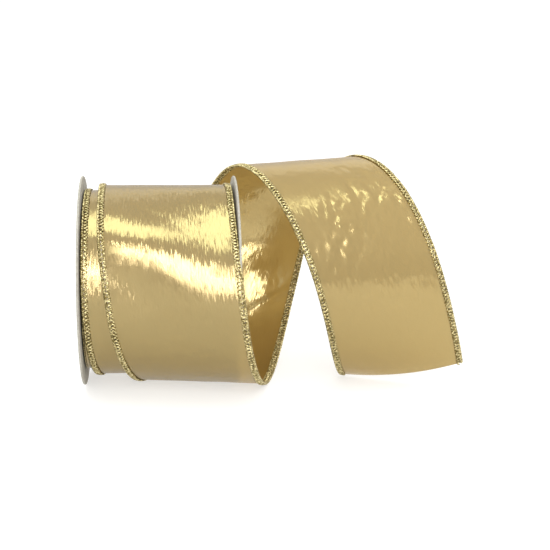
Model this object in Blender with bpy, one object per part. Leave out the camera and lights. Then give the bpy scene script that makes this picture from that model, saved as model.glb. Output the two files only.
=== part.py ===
"""A card spool of 2 1/2 inch wired ribbon, with the outer turns slackened into one loop and a free tail.

Lengths are in millimetres and are turned into metres where the meshes are made. The ribbon's route is given from
the centre of the spool, whose axis runs along X.
"""

import math

import bmesh
import bpy
import numpy as np
from mathutils import Matrix, Vector

MM = 0.001

# The card spool: two discs glued to a card tube, a 4 inch spool.
FLANGE_RADIUS = 50.8
FLANGE_THICKNESS = 1.0
FLANGE_SPACING = 73.1
RIM_CHAMFER = 0.2
TUBE_RADIUS = 19.05
TUBE_WALL = 1.5
GAP = 0.3
SPOOL_CENTRE = (-57.92, -8.91, 52.52)

# The ribbon: gold cloth with an overlocked, wired edge along each side.
RIBBON_WIDTH = 63.5
CLOTH_THICKNESS = 0.3
EDGE_WIDTH = 3.3
EDGE_THICKNESS = 1.2
EDGE_FACE = 1.9
WIRE_RADIUS = 0.15
WIRE_BORE = 0.42

# The tight windings, which fill the spool out from the tube and sit against its left flange.
WOUND_CENTRE = -3.8
WOUND_INNER = 20.0
WOUND_CLOTH_RADIUS = 43.2
WOUND_EDGE_RADIUS = 42.7
TAPE_LENGTH = 25.0
TAPE_THICKNESS = 0.2
TAPE_ARC = math.radians(70)

# The slack ribbon's centreline, one row each: x, y, z, then the swing and the tilt of its width in degrees.
# It leaves the windings at the back, goes once round them, crosses the top to the front, drops under the right
# flange, rises behind it as a loop and comes down as the tail.
ROUTE = np.array(
    [
        (-3.8, 44.0, 0.0, 0.0, 0.0),
        (-3.8, 31.1, 31.1, 0.0, 0.0),
        (-3.8, 0.0, 44.0, 0.0, 0.0),
        (-3.8, -31.2, 31.2, 0.0, 0.0),
        (-3.8, -44.2, 0.0, 0.0, 0.5),
        (-1.5, -31.5, -31.5, -2.0, 2.0),
        (2.0, 0.0, -46.0, -2.5, 0.0),
        (2.8, 32.5, -32.5, -1.0, -0.5),
        (2.6, 46.0, 0.0, 0.0, 0.0),
        (2.4, 36.0, 29.0, 0.5, 0.0),
        (2.8, 17.5, 43.0, 1.0, -0.5),
        (3.2, -16.0, 43.5, 1.0, 1.5),
        (4.5, -45.0, 20.8, -3.0, 6.5),
        (10.0, -45.5, -20.0, -10.5, 6.0),
        (20.0, -12.5, -48.9, -14.5, 1.5),
        (33.0, 37.0, -43.9, -14.0, -5.5),
        (44.5, 66.0, -13.5, -5.5, -13.5),
        (56.0, 65.5, 28.0, 11.5, -12.5),
        (70.0, 35.5, 54.0, 22.0, 0.0),
        (87.0, -2.0, 45.5, 20.0, 12.0),
        (102.5, -22.5, 12.5, 12.5, 17.0),
        (115.0, -18.0, -28.5, -1.5, 15.5),
        (122.0, -3.5, -50.0, -12.0, 8.0),
    ]
)

# Where the slack ribbon is divided, as travel along the route.
LOOP_START = 485.0
BEND_AT = 690.0
BEND_GAP = 0.8
TURN_STEP = 7.5
LOOP_STEP = 9.0
FRAME_STEP = 2.0
BOW_LIMIT = 0.004

ROUND_SIDES = 60
SHARP_ANGLE = math.radians(40)

CARD_COLOUR = (0.42, 0.41, 0.39)
TUBE_COLOUR = (0.46, 0.36, 0.25)
TAPE_COLOUR = (0.75, 0.73, 0.66)
CLOTH_COLOUR = (0.60, 0.45, 0.20)
EDGE_COLOUR = (0.50, 0.37, 0.12)
WIRE_COLOUR = (0.62, 0.58, 0.50)


def clear_scene():
    for obj in list(bpy.data.objects):
        bpy.data.objects.remove(obj)


def empty(name, place):
    guide = bpy.data.objects.new(name, None)
    guide.empty_display_size = 10 * MM
    guide.location = Vector(place) * MM
    bpy.context.scene.collection.objects.link(guide)
    return guide


def material(name, colour, roughness, metallic=0.0):
    finish = bpy.data.materials.new(name)
    finish.use_nodes = True
    shader = finish.node_tree.nodes["Principled BSDF"]
    shader.inputs["Base Color"].default_value = (*colour, 1.0)
    shader.inputs["Roughness"].default_value = roughness
    shader.inputs["Metallic"].default_value = metallic
    return finish


def solid(name, shape, finish, parent):
    """Turns a closed bmesh in millimetres, placed from its parent, into an object."""
    bmesh.ops.scale(shape, vec=(MM, MM, MM), verts=shape.verts)
    bmesh.ops.recalc_face_normals(shape, faces=shape.faces)
    mesh = bpy.data.meshes.new(name)
    shape.to_mesh(mesh)
    shape.free()
    mesh.shade_smooth()
    mesh.set_sharp_from_angle(angle=SHARP_ANGLE)
    mesh.materials.append(finish)
    obj = bpy.data.objects.new(name, mesh)
    bpy.context.scene.collection.objects.link(obj)
    obj.parent = parent
    return obj


def turned(profile, start=0.0, arc=2 * math.pi, sides=ROUND_SIDES):
    """A closed profile of (x, radius) points, turned about the X axis through the arc."""
    shape = bmesh.new()
    points = [shape.verts.new((x, 0.0, radius)) for x, radius in profile]
    face = shape.faces.new(points)
    bmesh.ops.rotate(shape, verts=shape.verts, matrix=Matrix.Rotation(start, 3, "X"))
    whole = arc > 2 * math.pi - 1e-6
    bmesh.ops.spin(
        shape,
        geom=[face] if not whole else list(face.edges),
        axis=(1, 0, 0),
        cent=(0, 0, 0),
        angle=arc,
        steps=sides,
        use_merge=whole,
    )
    if whole:
        bmesh.ops.delete(shape, geom=[face], context="FACES_ONLY")
    return shape


def box_profile(low_x, high_x, low_radius, high_radius):
    return [(low_x, low_radius), (high_x, low_radius), (high_x, high_radius), (low_x, high_radius)]


def natural_spline(travel):
    """The route's five values at each travel, on one smooth curve through every row."""
    steps = np.diff(KNOTS)
    slopes = np.diff(ROUTE, axis=0) / steps[:, None]
    count = len(KNOTS)
    system = np.eye(count)
    bends = np.zeros_like(ROUTE)
    for i in range(1, count - 1):
        system[i, i - 1 : i + 2] = steps[i - 1], 2 * (steps[i - 1] + steps[i]), steps[i]
        bends[i] = 6 * (slopes[i] - slopes[i - 1])
    system[0, 1] = -1.0
    system[-1, -2] = -1.0
    bends = np.linalg.solve(system, bends)
    i = np.clip(np.searchsorted(KNOTS, travel) - 1, 0, count - 2)
    after = (travel - KNOTS[i])[:, None]
    before = (KNOTS[i + 1] - travel)[:, None]
    step = steps[i][:, None]
    curve = (bends[i] * before**3 + bends[i + 1] * after**3) / (6 * step)
    low = (ROUTE[i] / step - bends[i] * step / 6) * before
    high = (ROUTE[i + 1] / step - bends[i + 1] * step / 6) * after
    return curve + low + high


def unit(vectors):
    return vectors / np.linalg.norm(vectors, axis=1, keepdims=True)


def ribbon_axes(travel):
    """The centre, and the directions along, across and out of the ribbon, at each travel."""
    values = natural_spline(travel)
    swing, tilt = np.radians(values[:, 3]), np.radians(values[:, 4])
    ahead, behind = natural_spline(travel + FRAME_STEP / 4), natural_spline(travel - FRAME_STEP / 4)
    along = unit(ahead[:, :3] - behind[:, :3])
    across = np.stack([np.cos(tilt) * np.cos(swing), np.cos(tilt) * np.sin(swing), np.sin(tilt)], axis=1)
    across = unit(across - (across * along).sum(axis=1)[:, None] * along)
    return values[:, :3], along, across, np.cross(across, along)


def ribbon_points(travel, across, lift):
    """Points of the ribbon, one row for each travel, at each distance across it and lift out of it."""
    across, lift = np.asarray(across, float), np.asarray(lift, float)
    centre, _, wide, out = ribbon_axes(travel)
    ahead, behind = ribbon_axes(travel + FRAME_STEP), ribbon_axes(travel - FRAME_STEP)
    length = np.linalg.norm(ahead[0] - behind[0], axis=1)
    curl = ((ahead[1] - behind[1]) * out).sum(axis=1) / length
    twist = ((ahead[2] - behind[2]) * out).sum(axis=1) / length
    bow = twist**2 * curl / (curl**2 + BOW_LIMIT**2) / 2
    height = bow[:, None] * across**2 + lift
    return centre[:, None] + across[None, :, None] * wide[:, None] + height[..., None] * out[:, None]


def tube_faces(shape, rows):
    """Joins each row of points to the next as a tube, and returns the first and the last row's points.

    The row's two halves face each other and are split on the same diagonals, so a thin sheet stays as thick.
    """
    rings = [[shape.verts.new(point) for point in row] for row in rows]
    count = len(rings[0])
    for first, second in zip(rings, rings[1:]):
        for i in range(count):
            j = (i + 1) % count
            low, high = (i, j) if i < count // 2 else (j, i)
            shape.faces.new((first[i], first[j], second[high]))
            shape.faces.new((first[low], second[j], second[i]))
    return rings[0], rings[-1]


def swept(travel, section, bore=None):
    """A closed bar with the section's (across, lift) outline along the ribbon, with an open bore if one is given.

    The outline's first half faces its second half, so that a cap is a row of quads between them.
    """
    shape = bmesh.new()
    outline = np.array(section)
    ends = tube_faces(shape, ribbon_points(travel, outline[:, 0], outline[:, 1]))
    if bore is None:
        for ring in ends:
            for i in range(len(ring) // 2 - 1):
                shape.faces.new((ring[i], ring[i + 1], ring[-2 - i], ring[-1 - i]))
        return shape
    inner = np.array(bore)
    holes = tube_faces(shape, ribbon_points(travel, inner[:, 0], inner[:, 1]))
    for ring, hole in zip(ends, holes):
        for i in range(len(ring)):
            shape.faces.new((ring[i - 1], ring[i], hole[i], hole[i - 1]))
    return shape


def cloth_section():
    reach = RIBBON_WIDTH / 2 - EDGE_WIDTH - GAP
    half = CLOTH_THICKNESS / 2
    columns = np.linspace(-reach, reach, 5)
    return [(v, half) for v in columns] + [(v, -half) for v in columns[::-1]]


def edge_section(side):
    """The overlocked edge: a flat hexagon from the cloth to the ribbon's full width."""
    outer = RIBBON_WIDTH / 2
    inner = outer - EDGE_WIDTH
    middle = (outer + inner) / 2
    face, half = EDGE_FACE / 2, EDGE_THICKNESS / 2
    corners = [(inner, 0.0), (middle - face, half), (middle + face, half)]
    corners += [(outer, 0.0), (middle + face, -half), (middle - face, -half)]
    return [(side * v, lift) for v, lift in corners]


def wire_section(side, radius, sides):
    """A section of even sides about the line that the edge wire follows."""
    place = (RIBBON_WIDTH - EDGE_WIDTH) / 2
    turns = [math.pi - 2 * math.pi * i / sides for i in range(sides)]
    return [(side * (place + radius * math.cos(a)), radius * math.sin(a)) for a in turns]


def stations(start, end, step):
    return np.linspace(start, end, round((end - start) / step) + 1)


def ribbon_stretch(name, travel, finishes, parent, place=(0.0, 0.0, 0.0)):
    """One stretch of slack ribbon: its cloth, its two overlocked edges and the wire in each."""
    shapes = {name + "_cloth": (swept(travel, cloth_section()), finishes["cloth"])}
    for word, side in (("left", -1), ("right", 1)):
        edge = swept(travel, edge_section(side), wire_section(side, WIRE_BORE, 6))
        wire = swept(travel, wire_section(side, WIRE_RADIUS, 4))
        shapes[f"{name}_{word}_edge"] = (edge, finishes["edge"])
        shapes[f"{name}_{word}_wire"] = (wire, finishes["wire"])
    for node, (shape, finish) in shapes.items():
        bmesh.ops.translate(shape, vec=-Vector(place), verts=shape.verts)
        solid(node, shape, finish, parent)


def flange(name, centre_x, finish, parent):
    half = FLANGE_THICKNESS / 2
    hole, rim = TUBE_RADIUS + GAP, FLANGE_RADIUS
    low, high = centre_x - half, centre_x + half
    profile = [(low, hole), (high, hole), (high, rim - RIM_CHAMFER), (high - RIM_CHAMFER, rim)]
    profile += [(low + RIM_CHAMFER, rim), (low, rim - RIM_CHAMFER)]
    solid(name, turned(profile), finish, parent)


def spool(finishes, axle):
    flange("left_flange", -FLANGE_SPACING / 2, finishes["card"], axle)
    flange("right_flange", FLANGE_SPACING / 2, finishes["card"], axle)
    reach = (FLANGE_SPACING + FLANGE_THICKNESS) / 2
    tube = box_profile(-reach, reach, TUBE_RADIUS - TUBE_WALL, TUBE_RADIUS)
    solid("core_tube", turned(tube), finishes["tube"], axle)
    low = TUBE_RADIUS + GAP
    ends = WOUND_CENTRE - TAPE_LENGTH / 2, WOUND_CENTRE + TAPE_LENGTH / 2
    tape = turned(box_profile(*ends, low, low + TAPE_THICKNESS), arc=TAPE_ARC, sides=12)
    solid("core_tape", tape, finishes["tape"], axle)


def windings(finishes, axle):
    reach = RIBBON_WIDTH / 2
    cloth_reach = reach - EDGE_WIDTH - GAP
    ends = WOUND_CENTRE - cloth_reach, WOUND_CENTRE + cloth_reach
    cloth = box_profile(*ends, WOUND_INNER, WOUND_CLOTH_RADIUS)
    solid("wound_cloth", turned(cloth), finishes["cloth"], axle)
    for word, side in (("left", -1), ("right", 1)):
        ends = sorted(WOUND_CENTRE + side * v for v in (reach - EDGE_WIDTH, reach))
        edge = box_profile(*ends, WOUND_INNER, WOUND_EDGE_RADIUS)
        solid(f"wound_{word}_edge", turned(edge), finishes["edge"], axle)


def main():
    clear_scene()
    finishes = {
        "card": material("greyboard", CARD_COLOUR, 0.75),
        "tube": material("kraft_tube", TUBE_COLOUR, 0.85),
        "tape": material("paper_tape", TAPE_COLOUR, 0.6),
        "cloth": material("gold_cloth", CLOTH_COLOUR, 0.32, 0.8),
        "edge": material("gold_thread", EDGE_COLOUR, 0.4, 0.8),
        "wire": material("edge_wire", WIRE_COLOUR, 0.3, 1.0),
    }
    ribbon = empty("slack_ribbon", SPOOL_CENTRE)
    axle = empty("spool_axle", SPOOL_CENTRE)
    spool(finishes, axle)
    windings(finishes, axle)
    half_gap = GAP / 2
    end = KNOTS[-1]
    turns = stations(0.0, LOOP_START - half_gap, TURN_STEP)
    ribbon_stretch("turns", turns, finishes, ribbon)
    loop = stations(LOOP_START + half_gap, BEND_AT - BEND_GAP / 2, LOOP_STEP)
    ribbon_stretch("loop", loop, finishes, ribbon)
    bend = ribbon_axes(np.array([BEND_AT]))[0][0]
    hinge = empty("tail_hinge", np.array(SPOOL_CENTRE) + bend)
    tail = stations(BEND_AT + BEND_GAP / 2, end, LOOP_STEP)
    ribbon_stretch("tail", tail, finishes, hinge, bend)


KNOTS = np.concatenate([[0.0], np.cumsum(np.linalg.norm(np.diff(ROUTE[:, :3], axis=0), axis=1))])

main()
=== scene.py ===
"""The looks of a card spool of wide, wired gold ribbon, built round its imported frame.

Lengths are millimetres from the spool's centre until a piece is made. X is the spool's axis, and
the front is -Y. "Travel" is the way along the slack ribbon from its start, and "across" the way
to the right of its centreline.
"""

import math

import bpy
import numpy as np
from mathutils import Matrix, Vector


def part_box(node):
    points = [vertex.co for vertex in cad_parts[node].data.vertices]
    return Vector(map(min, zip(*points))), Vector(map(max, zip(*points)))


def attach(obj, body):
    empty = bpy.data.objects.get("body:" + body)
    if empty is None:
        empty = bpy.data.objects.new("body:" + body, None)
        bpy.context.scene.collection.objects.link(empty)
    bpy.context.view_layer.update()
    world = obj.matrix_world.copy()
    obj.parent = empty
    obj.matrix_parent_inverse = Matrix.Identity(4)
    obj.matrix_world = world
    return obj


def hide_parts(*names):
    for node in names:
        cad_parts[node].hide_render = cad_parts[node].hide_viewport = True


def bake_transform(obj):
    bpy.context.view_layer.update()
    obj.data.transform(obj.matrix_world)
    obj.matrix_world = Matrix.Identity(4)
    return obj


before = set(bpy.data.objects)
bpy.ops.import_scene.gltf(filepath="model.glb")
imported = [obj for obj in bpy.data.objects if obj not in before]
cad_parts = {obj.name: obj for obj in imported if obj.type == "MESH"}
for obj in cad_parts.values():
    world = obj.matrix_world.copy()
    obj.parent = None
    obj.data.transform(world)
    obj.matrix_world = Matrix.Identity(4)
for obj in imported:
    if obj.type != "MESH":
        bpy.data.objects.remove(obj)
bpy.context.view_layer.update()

MM = 0.001
SPOOL_CENTRE = (np.array(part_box("core_tube")[0]) + np.array(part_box("core_tube")[1])) / 2 / MM

# The ribbon's route, as in the part: its centreline's x, y and z, and how far the ribbon is swung
# about Z and tilted up at its right edge, in degrees.
ROUTE = np.array(
    [
        (-3.8, 44.0, 0.0, 0.0, 0.0),
        (-3.8, 31.1, 31.1, 0.0, 0.0),
        (-3.8, 0.0, 44.0, 0.0, 0.0),
        (-3.8, -31.2, 31.2, 0.0, 0.0),
        (-3.8, -44.2, 0.0, 0.0, 0.5),
        (-1.5, -31.5, -31.5, -2.0, 2.0),
        (2.0, 0.0, -46.0, -2.5, 0.0),
        (2.8, 32.5, -32.5, -1.0, -0.5),
        (2.6, 46.0, 0.0, 0.0, 0.0),
        (2.4, 36.0, 29.0, 0.5, 0.0),
        (2.8, 17.5, 43.0, 1.0, -0.5),
        (3.2, -16.0, 43.5, 1.0, 1.5),
        (4.5, -45.0, 20.8, -3.0, 6.5),
        (10.0, -45.5, -20.0, -10.5, 6.0),
        (20.0, -12.5, -48.9, -14.5, 1.5),
        (33.0, 37.0, -43.9, -14.0, -5.5),
        (44.5, 66.0, -13.5, -5.5, -13.5),
        (56.0, 65.5, 28.0, 11.5, -12.5),
        (70.0, 35.5, 54.0, 22.0, 0.0),
        (87.0, -2.0, 45.5, 20.0, 12.0),
        (102.5, -22.5, 12.5, 12.5, 17.0),
        (115.0, -18.0, -28.5, -1.5, 15.5),
        (122.0, -3.5, -50.0, -12.0, 8.0),
    ]
)
KNOTS = np.concatenate([[0.0], np.cumsum(np.linalg.norm(np.diff(ROUTE[:, :3], axis=0), axis=1))])
ROUTE_END = KNOTS[-1]

# The two stretches of the slack ribbon meet at the split, short of the travel given for the tail's bend.
PIECE_SPLIT = 610.0
BEND_AT = 690.0

# The step over which curl and twist are measured, and the curl below which the bow dies away.
FRAME_STEP = 2.0
BOW_LIMIT = 0.004

# Dents in the slack cloth: ((travel, across), (reach along, reach across), slant, height).
# Heights are out of the ribbon's inner face, so round the spool a positive one is a hollow and a
# negative one a swell.
DENTS = [
    ((391.0, 26.0), (24.0, 25.0), 0.2, 4.0),
    ((355.0, 26.0), (13.0, 18.0), 0.0, -1.1),
    ((389.0, -28.0), (8.0, 15.0), 0.3, -0.8),
    ((411.0, -22.0), (15.0, 24.0), 0.35, 3.0),
    ((384.0, -18.0), (14.0, 21.0), 0.35, -1.8),
    ((406.0, -31.0), (30.0, 16.0), 0.0, -1.8),
    ((396.0, -8.0), (4.0, 4.0), 0.5, -0.25),
    ((374.0, -8.0), (3.5, 14.0), 0.5, 0.22),
    ((581.0, 8.0), (14.5, 24.0), 0.3, 4.2),
    ((583.0, 19.0), (11.0, 5.0), 0.2, 0.7),
    ((571.0, 21.0), (3.5, 13.0), 1.0, 1.0),
    ((567.0, 12.0), (11.0, 14.0), 0.3, 1.2),
]
# Where the cloth is finely crumpled: ((travel, across), (reach along, reach across), depth).
CRUMPLED = [
    ((722.0, 24.0), (18.0, 7.0), 0.45),
    ((708.0, 12.0), (16.0, 8.0), 0.42),
    ((728.0, -6.0), (18.0, 13.0), 0.34),
    ((738.0, -22.0), (18.0, 9.0), 0.12),
    ((766.0, 6.0), (9.0, 22.0), 0.2),
    ((582.0, 19.0), (12.0, 10.0), 0.2),
    ((394.0, -10.0), (10.0, 12.0), 0.06),
]
# Random waves: (length along, length across, height, seed). A crinkle's height is a share of the
# crumpling's depth.
GENTLE_WAVES = (14.0, 11.0, 0.12, 1)
CRINKLES = [(5.0, 3.0, 1.0, 2), (2.2, 1.6, 0.5, 3)]
WAVE_TABLE = 64

RIBBON_WIDTH = 63.5
CLOTH_REACH = 30.9
CLOTH_THICKNESS = 0.2
CLOTH_STEP = 1.0

# The overlocked edge.
STITCH = 1.75
THREAD_RADIUS = 0.33
NEEDLE_LINE = 28.75
RIM_LINE = 31.0
RIM_WRAP = 0.42
WIRE_LINE = 30.1
WIRE_RADIUS = 0.15
POINTS_PER_STITCH = 10
POINTS_PER_WIRE_POINT = 4
THREAD_SIDES = 6
WIRE_SIDES = 8

# The looper threads: how far they pass the needle and rim lines, the power that shapes their
# swing between them, their rise over the cloth, their crown between the lines, their drop at the
# rim, and their slip along the ribbon as a share of a stitch.
LOOPER_PAST_NEEDLE = 0.1
LOOPER_PAST_RIM = 0.2
LOOPER_SHARPNESS = 0.9
LOOPER_RISE = 0.12
LOOPER_CROWN = 0.2
LOOPER_DROP = 0.35
LOOPER_SLIP = 0.18

# The needle thread: its place inside the needle line, its lowest lift and rise, and its sway.
NEEDLE_INSET = 0.25
NEEDLE_LIFT = 0.25
NEEDLE_RISE = 0.38
NEEDLE_SWAY = 0.12

# How uneven each thread's stitches are, and the seed of each thread's unevenness.
LOOPER_UNEVEN = 0.06
NEEDLE_UNEVEN = 0.04
RIM_UNEVEN = 0.03
TOP_LOOPER_SEED, UNDER_LOOPER_SEED, NEEDLE_SEED, RIM_A_SEED, RIM_B_SEED = 11, 12, 13, 14, 15

# A direction that no thread starts along.
ODD_DIRECTION = (0.31, 0.87, 0.38)

# The windings. Their middle radius gives the cloth's length.
WOUND_CENTRE = -3.8
WOUND_INNER = 20.0
WOUND_OUTER = 43.0
WOUND_MIDDLE = 32.0
WOUND_CLEARANCE = 0.3
WOUND_TURNS = 42
WOUND_SIDES = 72
WOUND_COLUMNS = 5
WOUND_THICKNESS = 0.18
WOUND_RIM_INSET = 0.35
WOUND_RIM_RADIUS = 0.27

# The spool. Angles are in degrees.
FLANGE_RADIUS = 50.8
FLANGE_THICKNESS = 1.0
FLANGE_SPACING = 73.1
TUBE_RADIUS = 19.05
TUBE_WALL = 1.5
HOLE_GAP = 0.3
RIM_SHOULDER = 0.35
RIM_ROUNDING = 0.3
RIM_ANGLES = range(-60, 61, 20)
SHARP_ANGLE = 50
FLANGE_SIDES = 180
TUBE_SIDES = 96

# The camera, whose turns are in degrees.
CAMERA_PLACE = (-57.12, -539.91, 175.72)
CAMERA_YAW, CAMERA_PITCH, CAMERA_ROLL = 6.04, 12.83, 0.72
CAMERA_LENS, CAMERA_SENSOR = 72.07, 36.0
CAMERA_CLIP = 0.01

# The floor, by two (x, z) places in the frame: where the loop touches it, and where the left
# flange does.
FLOOR_LOW, FLOOR_HIGH = (-3.0, 0.0), (-94.5, 1.72)
FLOOR_REACH = 4.0
FLOOR_GLOW = 0.6

# Soft lights: name, (azimuth, elevation) in degrees, distance and (width, height) in metres,
# radiance and colour.
WHITE = (1.0, 1.0, 1.0)
SOFTBOXES = [
    ("overhead", (-40, 84), 0.9, (0.58, 0.40), 3.0, (0.88, 1.0, 0.88)),
    ("front", (-7, 25), 0.9, (0.36, 0.28), 2.4, (0.94, 1.0, 0.96)),
    ("side", (7, 30), 0.9, (0.24, 0.48), 6.0, WHITE),
    ("back", (178, 38), 1.5, (1.6, 0.6), 0.4, WHITE),
    ("spot", (-15, 41), 0.9, (0.07, 0.06), 16.0, WHITE),
    ("edge", (-7, 18), 0.9, (0.06, 0.5), 8.0, (0.97, 0.95, 1.0)),
]
BACKDROP_STRENGTH = 1.05
ROOM_STRENGTH = 1.3
ROOM_LOW, ROOM_HIGH = (0.76, 0.75, 0.74), (1.0, 0.99, 0.98)

# Colours.
GOLD = (0.49, 0.388, 0.187)
GOLD_LOW, GOLD_HIGH = 0.9, 1.08
GOLD_THROUGH = (0.92, 0.76, 0.44)
METAL_ROUGHNESS = 0.3
THREAD_GOLD = (0.52, 0.41, 0.19)
# Painted shade and painted glint: the thread's base colour runs in random specks between these two.
THREAD_PAINTED_SHADE = (0.21, 0.165, 0.06)
THREAD_PAINTED_GLINT = (0.78, 0.67, 0.36)
STEEL = (0.60, 0.56, 0.48)
GREYBOARD, GREYBOARD_DARK = (0.46, 0.44, 0.38), (0.32, 0.30, 0.26)
KRAFT, KRAFT_DARK = (0.42, 0.31, 0.20), (0.30, 0.21, 0.13)
CLOUD_DARK = (0.7, 0.69, 0.67)
BOARD_ROUGHNESS, TAPE_ROUGHNESS = 0.8, 0.6
TAPE, TAPE_LOW, TAPE_HIGH = (0.68, 0.63, 0.50), (0.55, 0.50, 0.38), (0.72, 0.67, 0.55)
FLOOR, FLOOR_GLOW_COLOUR = (0.46, 0.46, 0.46), (1.0, 0.99, 0.97)

# The middle of a noise's values, over which a colour or a lean changes.
NOISE_LOW, NOISE_HIGH = 0.3, 0.7

# The cloth's textures, in blotches to the centimetre across and along.
YARN_SCALE = (22.0, 3.5, 1.0)
PICK_SCALE = (5.0, 26.0, 1.0)
POLISH_SCALE = (1.6, 0.9, 1.0)
LEAN_SCALE = (15.0, 1.8, 1.0)
CLOTH_ROUGHNESS = (0.1, 0.24)
CLOTH_ANISOTROPY = 0.25
YARN_LEAN = 0.09
LIGHT_THROUGH = 0.38
# Bumps: (distance in metres, strength).
YARN_BUMP = (0.00003, 0.8)
PICK_BUMP = (0.00001, 0.5)

# The other textures, in blotches to the metre.
# The specks of painted glint and painted shade on the thread, and where between them the colour turns.
GLINT_SCALE = (1100.0, 1100.0, 1100.0)
GLINT_LOW, GLINT_HIGH = 0.4, 0.62
FOIL_TURNS, FOIL_DISTORTION = 0.9, 1.5
FOIL_BUMP = (0.00003, 0.5)
DRAWN_SCALE = (900.0, 900.0, 200.0)
WIRE_ROUGHNESS = (0.2, 0.45)
FIBRE_SCALE = (1500.0, 600.0, 900.0)
FIBRE_BUMP = (0.00006, 0.5)
CLOUD_SCALE = (60.0, 60.0, 60.0)
CLOUD_SHARE = 0.35
CREPE_SCALE = (2500.0, 300.0, 300.0)
CREPE_BUMP = (0.00005, 0.4)
GRAIN_SCALE = (300.0, 300.0, 300.0)
FLOOR_ROUGHNESS = (0.85, 0.95)


def placed(points):
    """Points in millimetres from the spool's centre, as metres in the frame."""
    return (np.asarray(points) + SPOOL_CENTRE) * MM


def unit(vectors):
    """The vectors, each at length 1."""
    return vectors / np.linalg.norm(vectors, axis=-1, keepdims=True)


def natural_spline(travel):
    """The route's five values at each travel, on one smooth curve through every row."""
    steps = np.diff(KNOTS)
    slopes = np.diff(ROUTE, axis=0) / steps[:, None]
    count = len(KNOTS)
    system = np.eye(count)
    bends = np.zeros_like(ROUTE)
    for i in range(1, count - 1):
        system[i, i - 1 : i + 2] = steps[i - 1], 2 * (steps[i - 1] + steps[i]), steps[i]
        bends[i] = 6 * (slopes[i] - slopes[i - 1])
    system[0, 1] = -1.0
    system[-1, -2] = -1.0
    bends = np.linalg.solve(system, bends)
    i = np.clip(np.searchsorted(KNOTS, travel) - 1, 0, count - 2)
    after = (travel - KNOTS[i])[:, None]
    before = (KNOTS[i + 1] - travel)[:, None]
    step = steps[i][:, None]
    curve = (bends[i] * before**3 + bends[i + 1] * after**3) / (6 * step)
    low = (ROUTE[i] / step - bends[i] * step / 6) * before
    high = (ROUTE[i + 1] / step - bends[i + 1] * step / 6) * after
    return curve + low + high


def ribbon_axes(travel):
    """The centre, and the directions along, across and out of the ribbon's inner face, at each travel."""
    values = natural_spline(travel)
    swing, tilt = np.radians(values[:, 3]), np.radians(values[:, 4])
    ahead, behind = natural_spline(travel + FRAME_STEP / 4), natural_spline(travel - FRAME_STEP / 4)
    along = unit(ahead[:, :3] - behind[:, :3])
    across = np.stack([np.cos(tilt) * np.cos(swing), np.cos(tilt) * np.sin(swing), np.sin(tilt)], axis=1)
    across = unit(across - (across * along).sum(axis=1)[:, None] * along)
    return values[:, :3], along, across, np.cross(across, along)


def ribbon_shape(travel):
    """The ribbon's centre, across and out directions and its bow, at each travel."""
    centre, _, wide, out = ribbon_axes(travel)
    ahead, behind = ribbon_axes(travel + FRAME_STEP), ribbon_axes(travel - FRAME_STEP)
    length = np.linalg.norm(ahead[0] - behind[0], axis=1)
    curl = ((ahead[1] - behind[1]) * out).sum(axis=1) / length
    twist = ((ahead[2] - behind[2]) * out).sum(axis=1) / length
    bow = twist**2 * curl / (curl**2 + BOW_LIMIT**2) / 2
    return centre, wide, out, bow


def waves(x, y, seed):
    """Smooth random waves between -1 and 1, about one to each unit of x and y."""
    size = WAVE_TABLE
    heights = np.random.default_rng(seed).uniform(-1, 1, (size, size))
    i, j = np.floor(x).astype(int), np.floor(y).astype(int)
    u, w = x - i, y - j
    u, w = u * u * (3 - 2 * u), w * w * (3 - 2 * w)
    near, far = heights[i % size, j % size], heights[(i + 1) % size, j % size]
    near_next = heights[i % size, (j + 1) % size]
    far_next = heights[(i + 1) % size, (j + 1) % size]
    return (near * (1 - u) + far * u) * (1 - w) + (near_next * (1 - u) + far_next * u) * w


def patch(travel, across, place, reach, slant=0.0):
    """A soft spot, 1 at its place and fading by its reach, both (travel, across), sheared by its slant."""
    aside = across - place[1]
    ahead = travel - place[0] - slant * aside
    return np.exp(-((ahead / reach[0]) ** 2) - (aside / reach[1]) ** 2)


def relief(travel, across):
    """How far the cloth stands out of its smooth route: gentle waves, dents and fine crinkles."""
    length, width, height, seed = GENTLE_WAVES
    lift = height * waves(travel / length, across / width, seed)
    for place, reach, slant, height in DENTS:
        lift += height * patch(travel, across, place, reach, slant)
    crumple = sum(depth * patch(travel, across, place, reach) for place, reach, depth in CRUMPLED)
    for length, width, share, seed in CRINKLES:
        lift += share * crumple * waves(travel / length, across / width, seed)
    return lift


def ribbon_grid(travel, across):
    """The cloth's middle surface, and its direction out, on a grid of travel by distance across."""
    centre, wide, out, bow = ribbon_shape(travel)
    rows, columns = np.meshgrid(travel, across, indexing="ij")
    height = bow[:, None] * columns**2 + relief(rows, columns)
    points = centre[:, None] + columns[..., None] * wide[:, None] + height[..., None] * out[:, None]
    facing = unit(np.cross(np.gradient(points, axis=1), np.gradient(points, axis=0)))
    return points, facing


def edge_path(travel, across, lift):
    """A thread's points, each at its own travel, distance across and lift out of the ribbon."""
    centre, wide, out, bow = ribbon_shape(travel)
    height = bow * across**2 + lift + relief(travel, np.clip(across, -CLOTH_REACH, CLOTH_REACH))
    return centre + across[:, None] * wide + height[:, None] * out


def grid_faces(rows, columns, start=0, wrap=False):
    """Quads of a grid of points, joined round from the last column to the first if it wraps."""
    i = np.arange(rows - 1)[:, None] * columns
    j = np.arange(columns if wrap else columns - 1)
    k = (j + 1) % columns
    return np.stack([i + j, i + k, i + columns + k, i + columns + j], axis=-1).reshape(-1, 4) + start


def weave_places(along, across):
    """The cloth's UV: one (across, along) pair in centimetres for each point of a grid."""
    return np.stack(np.meshgrid(along, across, indexing="ij")[::-1], axis=-1).reshape(-1, 2) / 10


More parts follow.
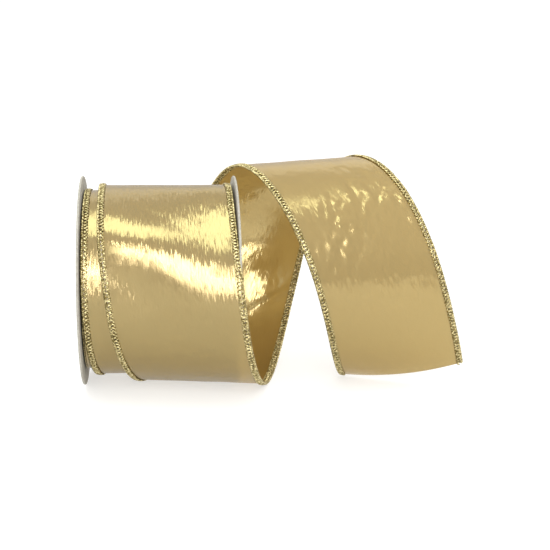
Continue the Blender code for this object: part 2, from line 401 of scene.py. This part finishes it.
def make_piece(name, points, faces, finish, uv=None):
    """A mesh object from points in millimetres, with a UV map of one pair a point."""
    mesh = bpy.data.meshes.new(name)
    mesh.from_pydata(placed(points).tolist(), [], faces)
    mesh.materials.append(finish)
    mesh.polygons.foreach_set("use_smooth", [True] * len(mesh.polygons))
    if uv is not None:
        corners = np.empty(len(mesh.loops), int)
        mesh.loops.foreach_get("vertex_index", corners)
        layer = mesh.uv_layers.new(name="weave")
        layer.data.foreach_set("uv", uv[corners].ravel())
    obj = bpy.data.objects.new(name, mesh)
    bpy.context.scene.collection.objects.link(obj)
    return obj


def tube(path, radius, sides):
    """Rings of points round a path, turned as little as possible from one to the next."""
    heading = unit(np.gradient(path, axis=0))
    side = np.cross(heading[0], ODD_DIRECTION)
    carried = []
    for ahead in heading:
        side = side - ahead * (side @ ahead)
        side /= np.linalg.norm(side)
        carried.append(side)
    first = np.array(carried)
    second = np.cross(heading, first)
    turn = np.linspace(0, 2 * math.pi, sides, endpoint=False)
    rings = np.cos(turn)[:, None] * first[:, None] + np.sin(turn)[:, None] * second[:, None]
    return path[:, None] + radius * rings


def make_thread(name, path, radius, finish, sides=THREAD_SIDES):
    """A round thread along a path, closed at both ends. Its UV is its share round and its length along."""
    rings = tube(path, radius, sides)
    count = len(path)
    faces = grid_faces(count, sides, wrap=True).tolist()
    faces.append(list(range(sides))[::-1])
    faces.append([(count - 1) * sides + i for i in range(sides)])
    length = np.concatenate([[0.0], np.cumsum(np.linalg.norm(np.diff(path, axis=0), axis=1))])
    around = np.linspace(0, 1, sides)
    uv = np.stack(np.meshgrid(length, around, indexing="ij")[::-1], axis=-1).reshape(-1, 2)
    return make_piece(name, rings.reshape(-1, 3), faces, finish, uv)


def make_sheet(name, travel, across, finish):
    """A closed sheet of cloth, with a UV map of centimetres across and along."""
    points, facing = ribbon_grid(travel, across)
    rows, columns = points.shape[:2]
    half = CLOTH_THICKNESS / 2
    upper = (points + half * facing).reshape(-1, 3)
    lower = (points - half * facing).reshape(-1, 3)
    both = np.concatenate([upper, lower])
    under = rows * columns
    top = grid_faces(rows, columns)
    bottom = grid_faces(rows, columns, under)[:, ::-1]
    border = np.concatenate(
        [
            np.arange(columns),
            np.arange(1, rows) * columns + columns - 1,
            (rows - 1) * columns + np.arange(columns - 1)[::-1],
            np.arange(1, rows - 1)[::-1] * columns,
        ]
    )
    after = np.roll(border, -1)
    rim = np.stack([border, border + under, after + under, after], axis=1)
    faces = np.concatenate([top, bottom, rim])
    uv = weave_places(travel, across)
    obj = make_piece(name, both, faces.tolist(), finish, np.concatenate([uv, uv]))
    normals = np.concatenate([facing.reshape(-1, 3), -facing.reshape(-1, 3)])
    corners = normals[faces]
    first, below, after = both[rim[:, 0]], both[rim[:, 1]], both[rim[:, 3]]
    corners[-len(rim) :] = unit(np.cross(below - first, after - first))[:, None]
    obj.data.normals_split_custom_set(corners.reshape(-1, 3).tolist())
    return obj


# Finishes


def new_finish(name, colour, roughness, metallic=0.0):
    """A new material and its shader."""
    finish = bpy.data.materials.new(name)
    finish.use_nodes = True
    shader = finish.node_tree.nodes["Principled BSDF"]
    shader.inputs["Base Color"].default_value = (*colour, 1.0)
    shader.inputs["Roughness"].default_value = roughness
    shader.inputs["Metallic"].default_value = metallic
    return finish, shader


def add_node(finish, kind, settings=(), **values):
    """A node of that kind, with its properties set by name and its sockets' values by settings."""
    node = finish.node_tree.nodes.new(kind)
    for key, value in values.items():
        setattr(node, key, value)
    for key, value in dict(settings).items():
        node.inputs[key].default_value = value
    return node


def stretched_noise(finish, source, scale, detail=2.0):
    """Noise with its own number of blotches to the unit each way."""
    mapping = add_node(finish, "ShaderNodeMapping", {"Scale": scale})
    blotches = add_node(finish, "ShaderNodeTexNoise", {"Scale": 1.0, "Detail": detail})
    link(finish, source, mapping.inputs["Vector"])
    link(finish, mapping.outputs["Vector"], blotches.inputs["Vector"])
    return blotches.outputs["Fac"]


def link(finish, start, end):
    """Joins a node's output to another's input."""
    finish.node_tree.links.new(start, end)


def colour_between(finish, factor, low, high, start=NOISE_LOW, end=NOISE_HIGH):
    """A colour that goes from low to high as the factor goes from start to end."""
    ramp = add_node(finish, "ShaderNodeValToRGB")
    ramp.color_ramp.elements[0].position = start
    ramp.color_ramp.elements[0].color = (*low, 1.0)
    ramp.color_ramp.elements[1].position = end
    ramp.color_ramp.elements[1].color = (*high, 1.0)
    link(finish, factor, ramp.inputs["Fac"])
    return ramp.outputs["Color"]


def value_between(finish, factor, low, high):
    """A value that goes from low to high as the factor goes from 0 to 1."""
    reach = add_node(finish, "ShaderNodeMapRange", {"To Min": low, "To Max": high})
    link(finish, factor, reach.inputs["Value"])
    return reach.outputs["Result"]


def bumped(finish, shader, heights):
    """Bumps the shader by each (height output, distance in metres, strength) in turn."""
    normal = None
    for height, distance, strength in heights:
        bump = add_node(finish, "ShaderNodeBump", {"Distance": distance, "Strength": strength})
        link(finish, height, bump.inputs["Height"])
        if normal is not None:
            link(finish, normal, bump.inputs["Normal"])
        normal = bump.outputs["Normal"]
    link(finish, normal, shader.inputs["Normal"])


def lean_yarns(finish, shader, across, amount):
    """Leans the yarns' normals a little forward or back along the ribbon, each by its own amount."""
    upright = shader.inputs["Normal"].links[0].from_socket
    along = add_node(finish, "ShaderNodeVectorMath", operation="CROSS_PRODUCT")
    link(finish, upright, along.inputs[0])
    link(finish, across, along.inputs[1])
    reach = {"From Min": NOISE_LOW, "From Max": NOISE_HIGH, "To Min": -YARN_LEAN, "To Max": YARN_LEAN}
    lean = add_node(finish, "ShaderNodeMapRange", reach)
    link(finish, amount, lean.inputs["Value"])
    step = add_node(finish, "ShaderNodeVectorMath", operation="SCALE")
    link(finish, along.outputs["Vector"], step.inputs[0])
    link(finish, lean.outputs["Result"], step.inputs["Scale"])
    leaned = add_node(finish, "ShaderNodeVectorMath", operation="ADD")
    link(finish, upright, leaned.inputs[0])
    link(finish, step.outputs["Vector"], leaned.inputs[1])
    whole = add_node(finish, "ShaderNodeVectorMath", operation="NORMALIZE")
    link(finish, leaned.outputs["Vector"], whole.inputs[0])
    link(finish, whole.outputs["Vector"], shader.inputs["Normal"])


def let_light_through(finish, shader, share, colour):
    """Makes a thin finish glow where it is lit from behind."""
    glow = add_node(finish, "ShaderNodeBsdfTranslucent", {"Color": (*colour, 1.0)})
    both = add_node(finish, "ShaderNodeMixShader", {0: share})
    link(finish, shader.outputs["BSDF"], both.inputs[1])
    link(finish, glow.outputs["BSDF"], both.inputs[2])
    link(finish, both.outputs["Shader"], finish.node_tree.nodes["Material Output"].inputs["Surface"])


def gold_cloth():
    """Lamé: flat metal yarns along the ribbon over a fine crosswise weft."""
    finish, shader = new_finish("gold_lame", GOLD, METAL_ROUGHNESS, metallic=1.0)
    weave = add_node(finish, "ShaderNodeUVMap", uv_map="weave").outputs["UV"]
    yarns = stretched_noise(finish, weave, YARN_SCALE)
    picks = stretched_noise(finish, weave, PICK_SCALE)
    polish = stretched_noise(finish, weave, POLISH_SCALE, detail=4.0)
    low, high = [tuple(channel * share for channel in GOLD) for share in (GOLD_LOW, GOLD_HIGH)]
    link(finish, colour_between(finish, yarns, low, high), shader.inputs["Base Color"])
    link(finish, value_between(finish, polish, *CLOTH_ROUGHNESS), shader.inputs["Roughness"])
    shader.inputs["Anisotropic"].default_value = CLOTH_ANISOTROPY
    tangent = add_node(finish, "ShaderNodeTangent", direction_type="UV_MAP", uv_map="weave")
    link(finish, tangent.outputs["Tangent"], shader.inputs["Tangent"])
    bumped(finish, shader, [(picks, *PICK_BUMP), (yarns, *YARN_BUMP)])
    lean = stretched_noise(finish, weave, LEAN_SCALE)
    lean_yarns(finish, shader, tangent.outputs["Tangent"], lean)
    let_light_through(finish, shader, LIGHT_THROUGH, GOLD_THROUGH)
    return finish


def gold_thread():
    """Metallic embroidery thread: foil wound round a core, so it shows fine slanted turns. Its colour is
    painted glints and painted shade, in random specks.
    """
    finish, shader = new_finish("gold_thread", THREAD_GOLD, METAL_ROUGHNESS, metallic=1.0)
    weave = add_node(finish, "ShaderNodeUVMap", uv_map="weave").outputs["UV"]
    foil = {"Scale": FOIL_TURNS, "Distortion": FOIL_DISTORTION}
    turns = add_node(finish, "ShaderNodeTexWave", foil, bands_direction="DIAGONAL")
    link(finish, weave, turns.inputs["Vector"])
    place = add_node(finish, "ShaderNodeTexCoord").outputs["Object"]
    # Painted glints and painted shade: the thread's colour runs in random specks from dark to bright.
    glints = stretched_noise(finish, place, GLINT_SCALE, detail=1.0)
    painted_glint_and_shade = colour_between(finish, glints, THREAD_PAINTED_SHADE, THREAD_PAINTED_GLINT, GLINT_LOW, GLINT_HIGH)
    link(finish, painted_glint_and_shade, shader.inputs["Base Color"])
    bumped(finish, shader, [(turns.outputs["Fac"], *FOIL_BUMP)])
    return finish


def steel_wire():
    """Drawn wire, whose polish changes along it."""
    finish, shader = new_finish("edge_wire", STEEL, METAL_ROUGHNESS, metallic=1.0)
    place = add_node(finish, "ShaderNodeTexCoord").outputs["Object"]
    drawn = stretched_noise(finish, place, DRAWN_SCALE)
    link(finish, value_between(finish, drawn, *WIRE_ROUGHNESS), shader.inputs["Roughness"])
    return finish


def board(name, colour, dark):
    """Grey or kraft board: mottled fibres, matt."""
    finish, shader = new_finish(name, colour, BOARD_ROUGHNESS)
    place = add_node(finish, "ShaderNodeTexCoord").outputs["Object"]
    fibres = stretched_noise(finish, place, FIBRE_SCALE, detail=4.0)
    clouds = stretched_noise(finish, place, CLOUD_SCALE, detail=3.0)
    mottle = colour_between(finish, fibres, dark, colour)
    shade = add_node(finish, "ShaderNodeMix", data_type="RGBA", blend_type="MULTIPLY")
    shade.inputs["Factor"].default_value = CLOUD_SHARE
    link(finish, mottle, shade.inputs[6])
    link(finish, colour_between(finish, clouds, CLOUD_DARK, WHITE), shade.inputs[7])
    link(finish, shade.outputs[2], shader.inputs["Base Color"])
    bumped(finish, shader, [(fibres, *FIBRE_BUMP)])
    return finish


def paper_tape():
    """Creped paper tape."""
    finish, shader = new_finish("paper_tape", TAPE, TAPE_ROUGHNESS)
    place = add_node(finish, "ShaderNodeTexCoord").outputs["Object"]
    crepe = stretched_noise(finish, place, CREPE_SCALE)
    link(finish, colour_between(finish, crepe, TAPE_LOW, TAPE_HIGH), shader.inputs["Base Color"])
    bumped(finish, shader, [(crepe, *CREPE_BUMP)])
    return finish


def white_floor():
    """A pale matt table that is lit from within, so that shadows on it stay faint."""
    finish, shader = new_finish("studio_floor", FLOOR, FLOOR_ROUGHNESS[0])
    shader.inputs["Emission Color"].default_value = (*FLOOR_GLOW_COLOUR, 1.0)
    shader.inputs["Emission Strength"].default_value = FLOOR_GLOW
    place = add_node(finish, "ShaderNodeTexCoord").outputs["Object"]
    grain = stretched_noise(finish, place, GRAIN_SCALE)
    link(finish, value_between(finish, grain, *FLOOR_ROUGHNESS), shader.inputs["Roughness"])
    return finish


# The ribbon


def stitch_travel(start, end):
    """Places along a stretch, as many to each stitch as a thread needs."""
    count = round((end - start) / STITCH * POINTS_PER_STITCH)
    return np.linspace(start, end, count + 1)


def unevenness(travel, seed, size):
    """A small change from stitch to stitch."""
    knots = np.arange(0, ROUTE_END + STITCH, STITCH)
    values = np.random.default_rng(seed).normal(0, size, len(knots))
    return np.interp(travel, knots, values)


def looper(travel, side, face, seed):
    """The thread that zigzags between the needle line and the rim on one face of the cloth."""
    phase = 2 * math.pi * travel / STITCH + (math.pi if face < 0 else 0)
    swing = (1 - np.cos(phase)) / 2
    low, high = NEEDLE_LINE - LOOPER_PAST_NEEDLE, RIM_LINE + LOOPER_PAST_RIM
    across = low + (high - low) * swing**LOOPER_SHARPNESS + unevenness(travel, seed, LOOPER_UNEVEN)
    lift = THREAD_RADIUS + LOOPER_RISE + LOOPER_CROWN * np.sin(np.pi * swing) - LOOPER_DROP * swing**3
    slip = LOOPER_SLIP * STITCH * np.sin(phase)
    return edge_path(travel + slip, side * across, face * lift)


def needle_thread(travel, side, seed):
    """The row of stitches along the inner line, each of which dips into the cloth."""
    phase = 2 * math.pi * travel / STITCH
    lift = NEEDLE_LIFT + NEEDLE_RISE * np.sqrt((1 + np.cos(phase)) / 2)
    across = NEEDLE_LINE - NEEDLE_INSET + NEEDLE_SWAY * np.sin(phase)
    across += unevenness(travel, seed, NEEDLE_UNEVEN)
    return edge_path(travel, side * across, lift)


def rim_cord(travel, side, seed, start):
    """One of the two strands wrapped round the rim."""
    turn = 2 * math.pi * travel / STITCH + start
    wrap = RIM_WRAP + unevenness(travel, seed, RIM_UNEVEN)
    return edge_path(travel, side * (RIM_LINE + wrap * np.cos(turn)), wrap * np.sin(turn))


def edge_wire(travel, side):
    """The wire inside an overlocked edge."""
    return edge_path(travel, np.full(len(travel), side * WIRE_LINE), np.zeros(len(travel)))


def ribbon_pieces(stretch, start, end, finishes):
    """The cloth, and the threads and wire of both overlocked edges, along one stretch of the ribbon."""
    columns = round(2 * CLOTH_REACH / CLOTH_STEP) + 1
    rows = round((end - start) / CLOTH_STEP) + 1
    across = np.linspace(-CLOTH_REACH, CLOTH_REACH, columns)
    along = np.linspace(start, end, rows)
    pieces = {"cloth": make_sheet(f"{stretch}_gold_cloth", along, across, finishes["cloth"])}
    travel = stitch_travel(start, end)
    for word, side in (("left", -1), ("right", 1)):
        paths = {
            "top_looper": looper(travel, side, 1, TOP_LOOPER_SEED),
            "under_looper": looper(travel, side, -1, UNDER_LOOPER_SEED),
            "needle_thread": needle_thread(travel, side, NEEDLE_SEED),
            "rim_strand_a": rim_cord(travel, side, RIM_A_SEED, 0.0),
            "rim_strand_b": rim_cord(travel, side, RIM_B_SEED, math.pi),
        }
        for part, path in paths.items():
            name = f"{stretch}_{word}_{part}"
            pieces[f"{word}_{part}"] = make_thread(name, path, THREAD_RADIUS, finishes["thread"])
        name = f"{stretch}_{word}_wire"
        wire = edge_wire(travel[::POINTS_PER_WIRE_POINT], side)
        pieces[f"{word}_wire"] = make_thread(name, wire, WIRE_RADIUS, finishes["wire"], WIRE_SIDES)
    return pieces


def add_ribbon(finishes):
    """The slack ribbon in two stretches that meet at the split: the first is attached to the ribbon's
    body, and the tail's is left unattached.
    """
    turns = ribbon_pieces("turns", 0.0, PIECE_SPLIT, finishes)
    for piece in turns.values():
        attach(piece, "ribbon")
    tail = ribbon_pieces("tail", PIECE_SPLIT, ROUTE_END, finishes)
    centre, along, _, _ = ribbon_axes(np.array([BEND_AT]))
    for piece in tail.values():
        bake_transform(piece)
    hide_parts("turns_cloth", "loop_cloth")
    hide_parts("tail_cloth")
    for word in ("left", "right"):
        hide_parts(f"turns_{word}_edge", f"loop_{word}_edge")
        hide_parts(f"turns_{word}_wire", f"loop_{word}_wire")
        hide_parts(f"tail_{word}_edge")
        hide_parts(f"tail_{word}_wire")


# The spool


def lathe(name, profile, finish, sides):
    """A closed outline of (x, radius) points turned about the spool's axis."""
    outline = np.array(profile)
    count = len(outline)
    turn = np.linspace(0, 2 * math.pi, sides, endpoint=False)[:, None]
    x = np.broadcast_to(outline[:, 0], (sides, count))
    radius = outline[:, 1]
    points = np.stack([x, radius * np.sin(turn), radius * np.cos(turn)], axis=-1)
    i, j = np.meshgrid(np.arange(sides), np.arange(count), indexing="ij")
    k, m = (i + 1) % sides, (j + 1) % count
    faces = np.stack([i * count + j, i * count + m, k * count + m, k * count + j], axis=-1).reshape(-1, 4)
    obj = make_piece(name, points.reshape(-1, 3), faces.tolist(), finish)
    obj.data.set_sharp_from_angle(angle=math.radians(SHARP_ANGLE))
    return obj


def flange_profile(centre_x):
    """A die-cut disc: square at the hole, and a rim rounded over by the cut."""
    half, hole = FLANGE_THICKNESS / 2, TUBE_RADIUS + HOLE_GAP
    shoulder, rounding = FLANGE_RADIUS - RIM_SHOULDER, FLANGE_RADIUS - RIM_ROUNDING
    profile = [(centre_x - half, hole), (centre_x - half, shoulder)]
    for degrees in RIM_ANGLES:
        angle = math.radians(degrees)
        profile.append((centre_x + half * math.sin(angle), rounding + RIM_ROUNDING * math.cos(angle)))
    profile += [(centre_x + half, shoulder), (centre_x + half, hole)]
    return profile


def add_spool(finishes):
    """The two board discs, the tube through them, and the start tape's finish."""
    for word, side in (("left", -1), ("right", 1)):
        profile = flange_profile(side * FLANGE_SPACING / 2)
        disc = lathe(f"{word}_board_disc", profile, finishes["card"], FLANGE_SIDES)
        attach(disc, "spool")
        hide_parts(f"{word}_flange")
    reach = (FLANGE_SPACING + FLANGE_THICKNESS) / 2
    inner = TUBE_RADIUS - TUBE_WALL
    profile = [(-reach, inner), (-reach, TUBE_RADIUS), (reach, TUBE_RADIUS), (reach, inner)]
    core = lathe("wound_core_tube", profile, finishes["tube"], TUBE_SIDES)
    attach(core, "spool")
    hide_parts("core_tube")
    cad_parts["core_tape"].data.materials.clear()
    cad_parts["core_tape"].data.materials.append(finishes["tape"])


def spiral(across):
    """The windings' path, at a distance across from their middle."""
    count = WOUND_TURNS * WOUND_SIDES + 1
    turn = np.linspace(0, 2 * math.pi * WOUND_TURNS, count)
    radius = np.linspace(WOUND_INNER + WOUND_CLEARANCE, WOUND_OUTER, count)
    x = np.full(count, WOUND_CENTRE + across)
    return np.stack([x, -radius * np.sin(turn), radius * np.cos(turn)], axis=1)


def add_windings(finishes):
    """The tight turns as one spiral of cloth, with a rim of thread at each end."""
    across = np.linspace(-CLOTH_REACH, CLOTH_REACH, WOUND_COLUMNS)
    path = spiral(0.0)
    rows = len(path)
    outer = unit(path * (0, 1, 1))[:, None]
    points = path[:, None] + across[None, :, None] * np.array([1.0, 0.0, 0.0])
    half = WOUND_THICKNESS / 2
    upper, lower = (points + half * outer).reshape(-1, 3), (points - half * outer).reshape(-1, 3)
    top = grid_faces(rows, WOUND_COLUMNS)
    bottom = grid_faces(rows, WOUND_COLUMNS, rows * WOUND_COLUMNS)[:, ::-1]
    faces = np.concatenate([top, bottom]).tolist()
    step = 2 * math.pi * WOUND_MIDDLE / WOUND_SIDES
    uv = weave_places(np.arange(rows) * step, across)
    both, both_uv = np.concatenate([upper, lower]), np.concatenate([uv, uv])
    cloth = make_piece("wound_cloth_turns", both, faces, finishes["cloth"], both_uv)
    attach(cloth, "spool")
    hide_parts("wound_cloth")
    for word, side in (("left", -1), ("right", 1)):
        path = spiral(side * (RIBBON_WIDTH / 2 - WOUND_RIM_INSET))
        rim = make_thread(f"wound_{word}_rim", path, WOUND_RIM_RADIUS, finishes["thread"])
        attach(rim, "spool")
        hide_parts(f"wound_{word}_edge")


# The studio


def add_camera():
    """The camera, turned to the right by its yaw and down by its pitch, and rolled."""
    yaw, pitch, roll = (math.radians(a) for a in (CAMERA_YAW, CAMERA_PITCH, CAMERA_ROLL))
    ahead = Vector((math.sin(yaw) * math.cos(pitch), math.cos(yaw) * math.cos(pitch), -math.sin(pitch)))
    level = Vector((math.cos(yaw), -math.sin(yaw), 0.0))
    raised = level.cross(ahead)
    right = math.cos(roll) * level + math.sin(roll) * raised
    up = -math.sin(roll) * level + math.cos(roll) * raised
    camera = bpy.data.cameras.new("camera")
    camera.lens = CAMERA_LENS
    camera.sensor_width = CAMERA_SENSOR
    camera.clip_start = CAMERA_CLIP
    obj = bpy.data.objects.new("camera", camera)
    turn = Matrix((right, up, -ahead)).transposed().to_4x4()
    obj.matrix_world = Matrix.Translation(Vector(CAMERA_PLACE) * MM) @ turn
    bpy.context.scene.collection.objects.link(obj)
    bpy.context.scene.camera = obj


def softbox(name, direction, distance, size, radiance, colour):
    """A rectangular soft light, turned to the spool. Azimuth 0 is in front, and grows to the right."""
    azimuth, elevation = (math.radians(a) for a in direction)
    flat = math.cos(elevation)
    away = Vector((math.sin(azimuth) * flat, -math.cos(azimuth) * flat, math.sin(elevation)))
    light = bpy.data.lights.new(name, "AREA")
    light.shape = "RECTANGLE"
    light.size, light.size_y = size
    light.energy = radiance * math.pi * size[0] * size[1]
    light.color = colour
    obj = bpy.data.objects.new(name, light)
    obj.location = Vector(placed((0.0, 0.0, 0.0))) + away * distance
    obj.rotation_euler = away.to_track_quat("Z", "Y").to_euler()
    bpy.context.scene.collection.objects.link(obj)


def floor_height(x):
    """The table's height at x, both in metres, on the line through its two places."""
    slope = (FLOOR_HIGH[1] - FLOOR_LOW[1]) / (FLOOR_HIGH[0] - FLOOR_LOW[0])
    return FLOOR_LOW[1] * MM + slope * (x - FLOOR_LOW[0] * MM)


def add_floor():
    """A white table, at the small slope that the ribbon under the right flange gives the spool."""
    mesh = bpy.data.meshes.new("studio_floor")
    signs = ((-1, -1), (1, -1), (1, 1), (-1, 1))
    corners = [(i * FLOOR_REACH, j * FLOOR_REACH, floor_height(i * FLOOR_REACH)) for i, j in signs]
    mesh.from_pydata(corners, [], [(0, 1, 2, 3)])
    mesh.materials.append(white_floor())
    obj = bpy.data.objects.new("studio_floor", mesh)
    bpy.context.scene.collection.objects.link(obj)


def add_world():
    """White for the camera, and a softer white room for light and reflections."""
    world = bpy.data.worlds.new("studio")
    bpy.context.scene.world = world
    world.use_nodes = True
    nodes, links = world.node_tree.nodes, world.node_tree.links
    nodes.clear()
    seen = nodes.new("ShaderNodeBackground")
    seen.inputs["Color"].default_value = (*WHITE, 1.0)
    seen.inputs["Strength"].default_value = BACKDROP_STRENGTH
    room = nodes.new("ShaderNodeBackground")
    room.inputs["Strength"].default_value = ROOM_STRENGTH
    place = nodes.new("ShaderNodeTexCoord")
    split = nodes.new("ShaderNodeSeparateXYZ")
    ramp = nodes.new("ShaderNodeValToRGB")
    ramp.color_ramp.elements[0].color = (*ROOM_LOW, 1.0)
    ramp.color_ramp.elements[1].color = (*ROOM_HIGH, 1.0)
    links.new(place.outputs["Generated"], split.inputs["Vector"])
    links.new(split.outputs["Z"], ramp.inputs["Fac"])
    links.new(ramp.outputs["Color"], room.inputs["Color"])
    path = nodes.new("ShaderNodeLightPath")
    choice = nodes.new("ShaderNodeMixShader")
    output = nodes.new("ShaderNodeOutputWorld")
    links.new(path.outputs["Is Camera Ray"], choice.inputs["Fac"])
    links.new(room.outputs["Background"], choice.inputs[1])
    links.new(seen.outputs["Background"], choice.inputs[2])
    links.new(choice.outputs["Shader"], output.inputs["Surface"])


def add_studio():
    """The camera, the room and the lights."""
    add_camera()
    add_world()
    add_floor()
    for settings in SOFTBOXES:
        softbox(*settings)
    bpy.context.scene.view_settings.view_transform = "Standard"


def main():
    """Makes the studio and the object."""
    add_studio()
    finishes = {
        "cloth": gold_cloth(),
        "thread": gold_thread(),
        "wire": steel_wire(),
        "card": board("greyboard", GREYBOARD, GREYBOARD_DARK),
        "tube": board("kraft_board", KRAFT, KRAFT_DARK),
        "tape": paper_tape(),
    }
    add_spool(finishes)
    add_windings(finishes)
    add_ribbon(finishes)


main()
